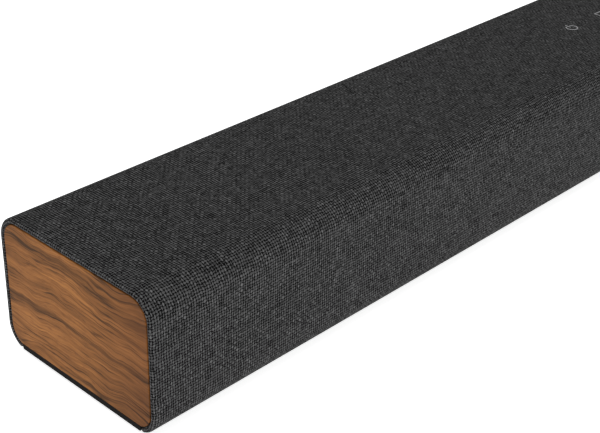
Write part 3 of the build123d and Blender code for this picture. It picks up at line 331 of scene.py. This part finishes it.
# ---------------------------------------------------------------- Light guide and remote receiver
# A clear acrylic bar carries the status lights to the cloth. The receiver's dark plastic lets
# only infrared through.
polished = 0.00001
clear_acrylic = grained(
    "clear_acrylic", (0.75, 0.77, 0.78), 0.14, grain=0.004, relief=polished, spots=0.03, Coat_Weight=0.4
)
infrared_plastic = grained(
    "infrared_plastic", (0.02, 0.006, 0.01), 0.16, grain=0.003, relief=polished, Coat_Weight=0.5
)
dress(clear_acrylic, "light_guide")
dress(infrared_plastic, "remote_receiver")

# ---------------------------------------------------------------- Keys
# Six moulded plungers in a guide plate, each over a dome switch on the key board. Their caps are
# felt through the cloth on top.
key_plastic = grained("key_moulding", (0.021, 0.021, 0.022), 0.5)
dress(key_plastic, "power_button", "input_button", "volume_down_button")
dress(key_plastic, "volume_up_button", "pairing_button", "mute_button")
dress(grained("guide_plate_moulding", (0.05, 0.052, 0.055), 0.5), "key_frame")

# ---------------------------------------------------------------- Sockets and their tray
# A moulded tray sunk into the back, with the sockets standing on the main board behind it. The
# two signal sockets have folded steel shells.
dress(grained("tray_nylon", (0.009, 0.009, 0.0095), 0.6, grain=0.0006, relief=0.00006), "socket_tray")
dress(grained("socket_nylon", (0.007, 0.007, 0.0075), 0.42, grain=0.0008), "power_socket", "optical_socket")
nickel_shell = metal("nickel_shell", (0.6, 0.59, 0.57), 0.28, brushing=(30, 1200, 30))
dress(nickel_shell, "audio_video_socket", "service_socket")

# ---------------------------------------------------------------- Wall plates and screws
# Two pressed steel keyhole plates under black powder coat, screwed flush into the back. All the
# screws are zinc-plated steel, blackened.
powder_coat = grained("powder_coat", (0.013, 0.013, 0.014), 0.5, grain=0.0011, relief=0.00012, spots=0.2)
dress(powder_coat, "wall_plates")
screw_zinc = metal("black_zinc", (0.09, 0.09, 0.095), 0.36, brushing=(500, 500, 500))
dress(screw_zinc, "case_screws", "bottom_screws", "small_screws")

# ---------------------------------------------------------------- Perforated sleeve
# A black ABS sleeve, slotted in front of the drivers. It slides over the cabinet, and the cloth
# is glued to it.
dress(grained("sleeve_moulding", (0.006, 0.006, 0.0065), 0.7), "grille_shell")

# ---------------------------------------------------------------- Bottom cover and feet
# A matt black cover screwed up from below, whose edge shows at each end under the walnut, and four feet of soft rubber
# let into it. The cover's black is darker and less shiny than the cabinet's, as painted shade on that low edge.
cover_moulding_with_painted_shade = grained(
    "cover_moulding_with_painted_shade", (0.003, 0.003, 0.0031), 0.8, grain=0.0005, relief=0.00005, Specular_IOR_Level=0.1
)
foot_rubber = grained("foot_rubber", (0.012, 0.012, 0.012), 0.8, grain=0.0006, relief=0.00008, spots=0.3)
dress(cover_moulding_with_painted_shade, "bottom_cover")
dress(foot_rubber, "rubber_feet")


# ---------------------------------------------------------------- Walnut end panels
# Flat walnut veneer on both ends, its grain running front to back in slow waves, under a thin
# matt oil. Dark late wood makes the streaks, and open pores the short fine marks.
def walnut(name, shift, light, mid, dark):
    material, tree, shader = finish(name, Specular_IOR_Level=0.10)
    at = place_of(tree)

    def grain(across_scale, along_scale, bend=None, detail=2, roughness=0.5):
        """Noise long in Y and short in Z, in cycles per metre, pushed up and down by bend."""
        moved = tree.nodes.new("ShaderNodeVectorMath")
        moved.operation = "ADD"
        link(tree, moved.inputs[0], at)
        moved.inputs[1].default_value = shift
        point = moved.outputs[0]
        if bend is not None:
            push = tree.nodes.new("ShaderNodeCombineXYZ")
            link(tree, push.inputs["Z"], bend)
            added = tree.nodes.new("ShaderNodeVectorMath")
            added.operation = "ADD"
            tree.links.new(point, added.inputs[0])
            tree.links.new(push.outputs[0], added.inputs[1])
            point = added.outputs[0]
        mapping = tree.nodes.new("ShaderNodeMapping")
        mapping.inputs["Scale"].default_value = (0, along_scale, across_scale)
        tree.links.new(point, mapping.inputs["Vector"])
        return noise(tree, mapping.outputs["Vector"], 1, detail, roughness)

    def swing(value, size):
        return calc(tree, "MULTIPLY", calc(tree, "SUBTRACT", value, 0.5), size)

    bend = calc(tree, "ADD", swing(grain(30, 24), 0.013), swing(grain(110, 70), 0.0034))

    def streak(across_scale, along_scale, half_width, low, high):
        """Thin dark lines where the noise passes its middle, coming and going along the grain."""
        off = calc(tree, "ABSOLUTE", calc(tree, "SUBTRACT", grain(across_scale, along_scale, bend, 1), 0.5))
        present = spread(tree, grain(across_scale * 0.6, along_scale * 2.0, bend, 1), low, high)
        return calc(tree, "MULTIPLY", spread(tree, off, 0.0, half_width, 1.0, 0.0), present)

    broad = grain(105, 9, bend, 2, 0.55)
    fine = grain(520, 22, bend, 3, 0.6)
    hair = grain(1700, 60, bend, 2, 0.6)
    flecks = grain(950, 110, bend, 2, 0.6)
    figure = 0.0
    for part, share in ((broad, 0.40), (fine, 0.30), (flecks, 0.18), (hair, 0.12)):
        figure = calc(tree, "ADD", figure, calc(tree, "MULTIPLY", part, share))
    bands = spread(tree, grain(150, 7, bend, 1), 0.60, 0.70, 0.0, 0.10)
    lines = calc(tree, "ADD", streak(240, 8, 0.022, 0.38, 0.54), streak(620, 14, 0.045, 0.44, 0.58))
    figure = calc(tree, "ADD", calc(tree, "ADD", figure, bands), calc(tree, "MULTIPLY", lines, 0.19))
    colour = shades(tree, figure, (0.38, light), (0.52, mid), (0.71, dark))

    # Pores, and painted shade that darkens the wood towards its front and rear edges, next to the cloth's rim.
    pores = spread(tree, grain(1500, 190, bend, 2, 0.6), 0.56, 0.70, 0.0, 0.6)
    split = tree.nodes.new("ShaderNodeSeparateXYZ")
    tree.links.new(at, split.inputs[0])
    edge = calc(tree, "ABSOLUTE", calc(tree, "SUBTRACT", split.outputs["Y"], 0.010))
    cover = calc(tree, "MAXIMUM", pores, spread(tree, edge, 0.018, 0.050, 0.0, 0.70))
    pores_and_painted_shade = tree.nodes.new("ShaderNodeMix")
    pores_and_painted_shade.data_type, pores_and_painted_shade.blend_type = "RGBA", "MULTIPLY"
    link(tree, pores_and_painted_shade.inputs["Factor"], cover)
    tree.links.new(colour, pores_and_painted_shade.inputs["A"])
    pores_and_painted_shade.inputs["B"].default_value = (0.42, 0.34, 0.24, 1)
    tree.links.new(pores_and_painted_shade.outputs["Result"], shader.inputs["Base Color"])
    link(tree, shader.inputs["Roughness"], spread(tree, figure, 0.35, 0.7, 0.5, 0.62))
    link(tree, shader.inputs["Normal"], bumps(tree, calc(tree, "SUBTRACT", hair, pores), 0.00004))
    return material


walnut_tones = ((0.354, 0.139, 0.031), (0.204, 0.076, 0.0152), (0.054, 0.023, 0.006))
dress(walnut("walnut_left", (0, 0.013, 0.031), *walnut_tones), "left_end_panel")
dress(walnut("walnut_right", (0, 0.213, 0.117), *walnut_tones), "right_end_panel")

# ---------------------------------------------------------------- Cloth wrap
# One piece of charcoal polyester in a heathered plain weave, glued round the sleeve and rolled
# over its ends and its two bottom edges. It is cut out round the socket tray and wall plates.
cloth_low, cloth_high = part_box("fabric_wrap")
section_r = 10.0 * mm
corner_y = cloth_high.y - section_r
top_z = cloth_high.z
low_z = top_z - 57.0 * mm
roll_r = 1.15 * mm                       # half the thickness of cloth and sleeve together
roll_turn = math.radians(165)
lip_y = 34.8 * mm
edge_x = cloth_high.x - roll_r
inner_r = section_r - roll_r
lip_angle = math.atan2(roll_r, inner_r) + math.asin((lip_y - corner_y) / math.hypot(inner_r, roll_r))
side_run = top_z - low_z - 2 * section_r
lip_arc = section_r * (math.pi / 2 - lip_angle)
quarter = section_r * math.pi / 2
runs = (lip_arc, side_run, quarter, 2 * corner_y, quarter, side_run, lip_arc)
around = sum(runs)


def outline(s):
    """Point and outward normal of the wrap's section, s metres from the front lip over the top."""
    half = around / 2
    mirror = 1 if s > half else -1
    s = min(s, around - s)
    if s <= lip_arc:
        angle = lip_angle + s / section_r
        normal = (-math.sin(angle), -math.cos(angle))
        centre = (-corner_y, low_z + section_r)
    elif s <= lip_arc + side_run:
        normal = (-1.0, 0.0)
        centre = (-corner_y, low_z + section_r + s - lip_arc)
    elif s <= lip_arc + side_run + quarter:
        angle = (s - lip_arc - side_run) / section_r
        normal = (-math.cos(angle), math.sin(angle))
        centre = (-corner_y, top_z - section_r)
    else:
        normal = (0.0, 1.0)
        centre = (-corner_y + s - lip_arc - side_run - quarter, top_z - section_r)
    point = (centre[0] + normal[0] * section_r, centre[1] + normal[1] * section_r)
    return (-mirror * point[0], point[1]), (-mirror * normal[0], normal[1])


def cloth_point(u, v, deep=0.0):
    """Where the cloth's own point u, v lies, deep metres under its face: u along the bar from its
    middle, v round it from the front lip."""
    over_u, over_v = max(0.0, abs(u) - edge_x), max(0.0, -v, v - around)
    turn = max(over_u, over_v) / roll_r
    flat = math.hypot(over_u, over_v) or 1.0
    lean = (roll_r - deep) * math.sin(turn)
    sink = roll_r - (roll_r - deep) * math.cos(turn)
    (y, z), (ny, nz) = outline(min(max(v, 0.0), around))
    along = math.copysign(lean * over_v / flat, v)
    x = math.copysign(min(abs(u), edge_x) + lean * over_u / flat, u)
    return (x, y - ny * sink + nz * along, z - nz * sink - ny * along)


def steps(start, end, size):
    count = max(1, math.ceil(abs(end - start) / size - 1e-6))
    return [start + (end - start) * k / count for k in range(count)]


roll_length = roll_r * roll_turn
roll_step = roll_r * math.radians(20)
tray_low, tray_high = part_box("socket_tray")
plate_low, plate_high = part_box("wall_plates")
cut_gap = 0.3 * mm
plate_width = 26.0 * mm


def height_to_v(z):
    """v on the cloth's back for a height z, at or above the bottom corner."""
    if z >= low_z + section_r:
        return around - lip_arc - (z - low_z - section_r)
    return around - lip_arc + section_r * math.asin((low_z + section_r - z) / section_r)


windows = [(tray_low.x, tray_high.x, tray_low.z, tray_high.z, 2.0 * mm)]
for x in (plate_low.x, plate_high.x - plate_width):
    windows.append((x, x + plate_width, plate_low.z, plate_high.z, 3.0 * mm))
windows = [
    (x0 - cut_gap, x1 + cut_gap, height_to_v(z1 + cut_gap), height_to_v(z0 - cut_gap), radius + cut_gap)
    for x0, x1, z0, z1, radius in windows
]
margin = 2.0 * mm
us = set(steps(-edge_x - roll_length, -edge_x, roll_step)) | set(steps(edge_x, edge_x + roll_length, roll_step))
us |= {edge_x + roll_length}
stops = sorted({-edge_x, edge_x} | {x for w in windows for x in (w[0] - margin, w[1] + margin)})
for a, b in zip(stops, stops[1:]):
    us |= set(steps(a, b, 5 * mm))
vs = set(steps(-roll_length, 0, roll_step)) | set(steps(around, around + roll_length, roll_step)) | {around + roll_length}
marks = [sum(runs[:k]) for k in range(8)]
stops = sorted(set(marks) | {v for w in windows for v in (w[2] - margin, w[3] + margin)})
for a, b in zip(stops, stops[1:]):
    curved = any(m <= a + 1e-9 and b <= n + 1e-9 for m, n in zip(marks[::2], marks[1::2]))
    vs |= set(steps(a, b, 1.0 * mm if curved else 4 * mm))
us, vs = sorted(us), sorted(vs)

flat_points = [(u, v) for u in us for v in vs]
number = {point: k for k, point in enumerate(flat_points)}
cloth_faces = []


def inside(w, u, v):
    return w[0] - margin - 1e-7 < u < w[1] + margin + 1e-7 and w[2] - margin - 1e-7 < v < w[3] + margin + 1e-7


for u0, u1 in zip(us, us[1:]):
    for v0, v1 in zip(vs, vs[1:]):
        if not any(inside(w, u0, v0) and inside(w, u1, v1) for w in windows):
            cloth_faces.append([number[u0, v0], number[u1, v0], number[u1, v1], number[u0, v1]])

for w in windows:
    rim_u = [u for u in us if inside(w, u, w[2])]
    rim_v = [v for v in vs if inside(w, w[0], v)]
    ring = [(u, rim_v[0]) for u in rim_u] + [(rim_u[-1], v) for v in rim_v[1:]]
    ring += [(u, rim_v[-1]) for u in rim_u[-2::-1]] + [(rim_u[0], v) for v in rim_v[-2:0:-1]]
    hole = []
    for k, (cu, cv) in enumerate(((w[1], w[3]), (w[0], w[3]), (w[0], w[2]), (w[1], w[2]))):
        inward_u = math.copysign(w[4], cu - (w[0] + w[1]) / 2)
        inward_v = math.copysign(w[4], cv - (w[2] + w[3]) / 2)
        centre = (cu - inward_u, cv - inward_v)
        for t in range(7):
            angle = math.pi / 2 * (k + t / 6)
            hole.append((centre[0] + w[4] * math.cos(angle), centre[1] + w[4] * math.sin(angle)))
    points = [Vector(p) for p in ring + hole]
    edges = [(k, (k + 1) % len(ring)) for k in range(len(ring))]
    edges += [(len(ring) + k, len(ring) + (k + 1) % len(hole)) for k in range(len(hole))]
    made, _, patch, origin, _, _ = delaunay_2d_cdt(points, edges, [], 1, 1e-9)
    index = []
    for point, source in zip(made, origin):
        if source and source[0] < len(ring):
            index.append(number[ring[source[0]]])
        else:
            index.append(len(flat_points))
            flat_points.append(tuple(point))
    for corners in patch:
        middle = sum((made[k] for k in corners), Vector((0, 0))) / len(corners)
        u, v = abs(middle.x - (w[0] + w[1]) / 2), abs(middle.y - (w[2] + w[3]) / 2)
        flat_u, flat_v = (w[1] - w[0]) / 2 - w[4], (w[3] - w[2]) / 2 - w[4]
        if math.hypot(max(0, u - flat_u), max(0, v - flat_v)) >= w[4] * 0.99:
            cloth_faces.append([index[k] for k in corners])

# Two layers, joined round every edge, make the cloth a closed piece.
used = sorted({k for face in cloth_faces for k in face})
renumber = {k: n for n, k in enumerate(used)}
flat_points = [flat_points[k] for k in used]
cloth_faces = [[renumber[k] for k in face] for face in cloth_faces]
count = len(flat_points)
cloth_thick = 0.8 * mm
sides = {}
for face in cloth_faces:
    for a, b in zip(face, face[1:] + face[:1]):
        sides[a, b] = sides.get((a, b), 0) + 1
walls = [[b, a, a + count, b + count] for a, b in sides if (b, a) not in sides]
shape = [cloth_point(u, v) for u, v in flat_points] + [cloth_point(u, v, cloth_thick) for u, v in flat_points]
cloth_mesh = bpy.data.meshes.new("cloth_wrap")
hidden_faces = [[k + count for k in reversed(face)] for face in cloth_faces]
cloth_mesh.from_pydata(shape, [], cloth_faces + hidden_faces + walls)
cloth_mesh.shade_smooth()
weave_place = cloth_mesh.attributes.new("weave_place", "FLOAT_VECTOR", "POINT")
weave_place.data.foreach_set("vector", [n for u, v in flat_points * 2 for n in (u / mm, v / mm, 0.0)])

# The bake's map: the face's left and right halves stacked, and the hidden layer on a strip above.
side = edge_x + roll_length
wide = around + 2 * roll_length
bake_map = cloth_mesh.uv_layers.new(name="OFBake")
for face in cloth_mesh.polygons:
    hidden = face.index >= len(cloth_faces)
    left = sum(flat_points[k % count][0] for k in face.vertices) < 0
    for corner, k in zip(face.loop_indices, face.vertices):
        u, v = flat_points[k % count]
        across_map = (u + side if left else u) / side
        up_map = (v + roll_length) / side
        if hidden:
            spot = (across_map, (2 * wide / side + 0.02) + up_map * 0.06 + (0.07 if left else 0.0))
        else:
            spot = (across_map, up_map + (0.0 if left else wide / side + 0.01))
        bake_map.data[corner].uv = (0.002 + spot[0] * 0.996, 0.002 + spot[1] * 0.996)

cloth_wrap = bpy.data.objects.new("cloth_wrap", cloth_mesh)
bpy.context.scene.collection.objects.link(cloth_wrap)
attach(cloth_wrap, "case")
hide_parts("fabric_wrap")


def woven():
    material, tree, shader = finish("heathered_weave", Roughness=0.95, Specular_IOR_Level=0.06)
    source = tree.nodes.new("ShaderNodeAttribute")
    source.attribute_name = "weave_place"
    split = tree.nodes.new("ShaderNodeSeparateXYZ")
    tree.links.new(source.outputs["Vector"], split.inputs[0])
    place = source.outputs["Vector"]
    u, v = split.outputs["X"], split.outputs["Y"]

    def joined(x, y, z=0.0):
        node = tree.nodes.new("ShaderNodeCombineXYZ")
        for socket, value in zip(node.inputs, (x, y, z)):
            link(tree, socket, value)
        return node.outputs[0]

    def wander(seed, amount):
        shifted = tree.nodes.new("ShaderNodeVectorMath")
        shifted.operation = "ADD"
        tree.links.new(place, shifted.inputs[0])
        shifted.inputs[1].default_value = (seed, seed * 1.7, seed)
        drift = calc(tree, "SUBTRACT", noise(tree, shifted.outputs[0], 0.22, 2), 0.5)
        return calc(tree, "MULTIPLY", drift, amount)

    # Yarn numbers and the place across each yarn, from -0.5 to 0.5. The spacings are in mm.
    upright_pitch, lying_pitch = 1.139, 1.172
    a = calc(tree, "DIVIDE", calc(tree, "ADD", u, wander(11.0, 1.2)), upright_pitch)
    b = calc(tree, "DIVIDE", calc(tree, "ADD", v, wander(47.0, 1.2)), lying_pitch)
    i, j = calc(tree, "FLOOR", a), calc(tree, "FLOOR", b)
    fa = calc(tree, "SUBTRACT", calc(tree, "SUBTRACT", a, i), 0.5)
    fb = calc(tree, "SUBTRACT", calc(tree, "SUBTRACT", b, j), 0.5)
    odd = calc(tree, "FLOORED_MODULO", calc(tree, "ADD", i, j), 2.0)
    turn = calc(tree, "SUBTRACT", calc(tree, "MULTIPLY", calc(tree, "ROUND", odd), 2.0), 1.0)

    # Each yarn has its own thickness and shade, both drifting along its length.
    fat_up = noise(tree, joined(calc(tree, "MULTIPLY", i, 3.37), calc(tree, "MULTIPLY", v, 0.34)), 1.0, 3, 0.65)
    fat_along = noise(tree, joined(calc(tree, "MULTIPLY", u, 0.34), calc(tree, "MULTIPLY", j, 3.91), 9.0), 1.0, 3, 0.65)

    def body(across_yarn, along_yarn, over, fat):
        """Height of one set of yarns: round across, and waving over and under along."""
        ratio = calc(tree, "DIVIDE", across_yarn, spread(tree, fat, 0.36, 0.62, 0.17, 0.44))
        left_over = calc(tree, "SUBTRACT", 1.0, calc(tree, "MULTIPLY", ratio, ratio))
        rounded = calc(tree, "SQRT", calc(tree, "MAXIMUM", left_over, 0.0))
        outside = calc(tree, "MULTIPLY", calc(tree, "LESS_THAN", left_over, 0.0), 2.0)
        rise = calc(tree, "COSINE", calc(tree, "MULTIPLY", along_yarn, math.pi))
        wave = calc(tree, "MULTIPLY", calc(tree, "MULTIPLY", rise, over), 0.4)
        return calc(tree, "SUBTRACT", calc(tree, "ADD", calc(tree, "MULTIPLY", rounded, 0.6), wave), outside)

    upright = body(fa, fb, turn, fat_up)
    lying = body(fb, fa, calc(tree, "MULTIPLY", turn, -1.0), fat_along)
    height = calc(tree, "MAXIMUM", calc(tree, "MAXIMUM", upright, lying), 0.0)
    on_top = calc(tree, "GREATER_THAN", upright, lying)

    shade_up = noise(tree, joined(calc(tree, "MULTIPLY", i, 5.13), calc(tree, "MULTIPLY", v, 0.16), 3.0), 1.0, 3, 0.6)
    shade_along = noise(tree, joined(calc(tree, "MULTIPLY", u, 0.16), calc(tree, "MULTIPLY", j, 4.71), 5.0), 1.0, 3, 0.6)
    light_up = spread(tree, shade_up, 0.34, 0.66, 0.72, 1.66)
    light_along = spread(tree, shade_along, 0.34, 0.66, 0.50, 1.26)
    yarn = tree.nodes.new("ShaderNodeMix")
    link(tree, yarn.inputs["Factor"], on_top)
    link(tree, yarn.inputs[2], light_along)
    link(tree, yarn.inputs[3], light_up)
    hairs = noise(tree, place, 4.5, 3, 0.65)
    slubs = noise(tree, place, 0.30, 3, 0.6)
    shade = calc(tree, "MULTIPLY", yarn.outputs[0], spread(tree, hairs, 0.3, 0.7, 0.8, 1.2))
    shade = calc(tree, "MULTIPLY", shade, spread(tree, slubs, 0.3, 0.7, 0.86, 1.14))
    # Painted shade: the colour darkens down each yarn's sides and where it dips under its neighbour, and goes black in
    # the gaps between yarns.
    shade = calc(tree, "MULTIPLY", shade, spread(tree, height, 0.36, 0.76, 0.0, 1.0))
    half_shade = calc(tree, "MULTIPLY", shade, 0.5)
    charcoal = shades(tree, half_shade, (0.0, (0.001, 0.001, 0.001)), (1.0, (0.152, 0.152, 0.153)))
    link(tree, shader.inputs["Base Color"], charcoal)
    link(tree, shader.inputs["Normal"], bumps(tree, height, 0.0003))
    return material


cloth_mesh.materials.append(woven())

# ---------------------------------------------------------------- Printed key signs
# Thin pale grey ink printed on the cloth over each key: plain outline signs for power, input,
# softer, louder, pairing and mute.
ink = grained("pale_ink", (0.30, 0.30, 0.305), 0.6, grain=0.0011, relief=0.00004, spots=0.35)
ink_wide, ink_thick, ink_lift = 0.62 * mm, 0.06 * mm, 0.01 * mm


def arc(radius, start, end, x=0.0, y=0.0):
    count = max(6, int(abs(end - start) / 9))
    turns = [math.radians(start + (end - start) * k / count) for k in range(count + 1)]
    return [(x + radius * math.cos(t), y + radius * math.sin(t)) for t in turns]


def sign(name, key, *lines):
    """Lines of ink over a key, each a list of points in millimetres from the key's middle."""
    low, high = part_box(key)
    middle = Vector(((low.x + high.x) / 2, (low.y + high.y) / 2))
    points, faces = [], []
    for line in lines:
        closed = line[0] == line[-1]
        way = [middle + Vector(p) * mm for p in (line[:-1] if closed else line)]
        first = len(points)
        for k, p in enumerate(way):
            back = way[k - 1] if closed or k else p
            on = way[(k + 1) % len(way)] if closed or k + 1 < len(way) else p
            before, after = (p - back).normalized(), (on - p).normalized()
            bend = (before + after).normalized()
            mitre = max(0.5, bend.dot(after if after.length else before))
            side_step = Vector((-bend.y, bend.x)) * ink_wide / 2 / mitre
            for z in (ink_lift, ink_lift + ink_thick):
                points += [(*(p + side_step), cloth_high.z + z), (*(p - side_step), cloth_high.z + z)]
        spans = len(way) if closed else len(way) - 1
        for k in range(spans):
            a, b = first + 4 * k, first + 4 * ((k + 1) % len(way))
            faces += [(a, b, b + 1, a + 1), (a + 3, b + 3, b + 2, a + 2)]
            faces += [(a + 2, b + 2, b, a), (a + 1, b + 1, b + 3, a + 3)]
        if not closed:
            last = first + 4 * (len(way) - 1)
            faces += [(first, first + 1, first + 3, first + 2), (last + 2, last + 3, last + 1, last)]
    mesh = bpy.data.meshes.new(name)
    mesh.from_pydata(points, [], faces)
    mesh.materials.append(ink)
    printed = bpy.data.objects.new(name, mesh)
    bpy.context.scene.collection.objects.link(printed)
    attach(printed, "case")


sign("power_sign", "power_button", arc(2.75, 122, 418), [(0, 0.8), (0, 3.8)])
input_frame = [(-2.8, -2.8), (2.8, -2.8), (2.8, 2.8), (-2.8, 2.8), (-2.8, -2.8)]
sign("input_sign", "input_button", input_frame, [(-1.1, 0), (1.1, 0)])
sign("softer_sign", "volume_down_button", [(-2.6, 0), (2.6, 0)])
sign("louder_sign", "volume_up_button", [(-2.6, 0), (2.6, 0)], [(0, -2.6), (0, 2.6)])
sign("pairing_sign", "pairing_button", arc(1.7, 0, 360, -1.2), arc(1.7, 0, 360, 1.2))
sign(
    "mute_sign", "mute_button",
    [(-2.9, -0.9), (-1.5, -0.9), (0.5, -2.6), (0.5, 2.6), (-1.5, 0.9), (-2.9, 0.9), (-2.9, -0.9)],
    [(1.5, -1.2), (3.3, 1.2)], [(1.5, 1.2), (3.3, -1.2)],
)
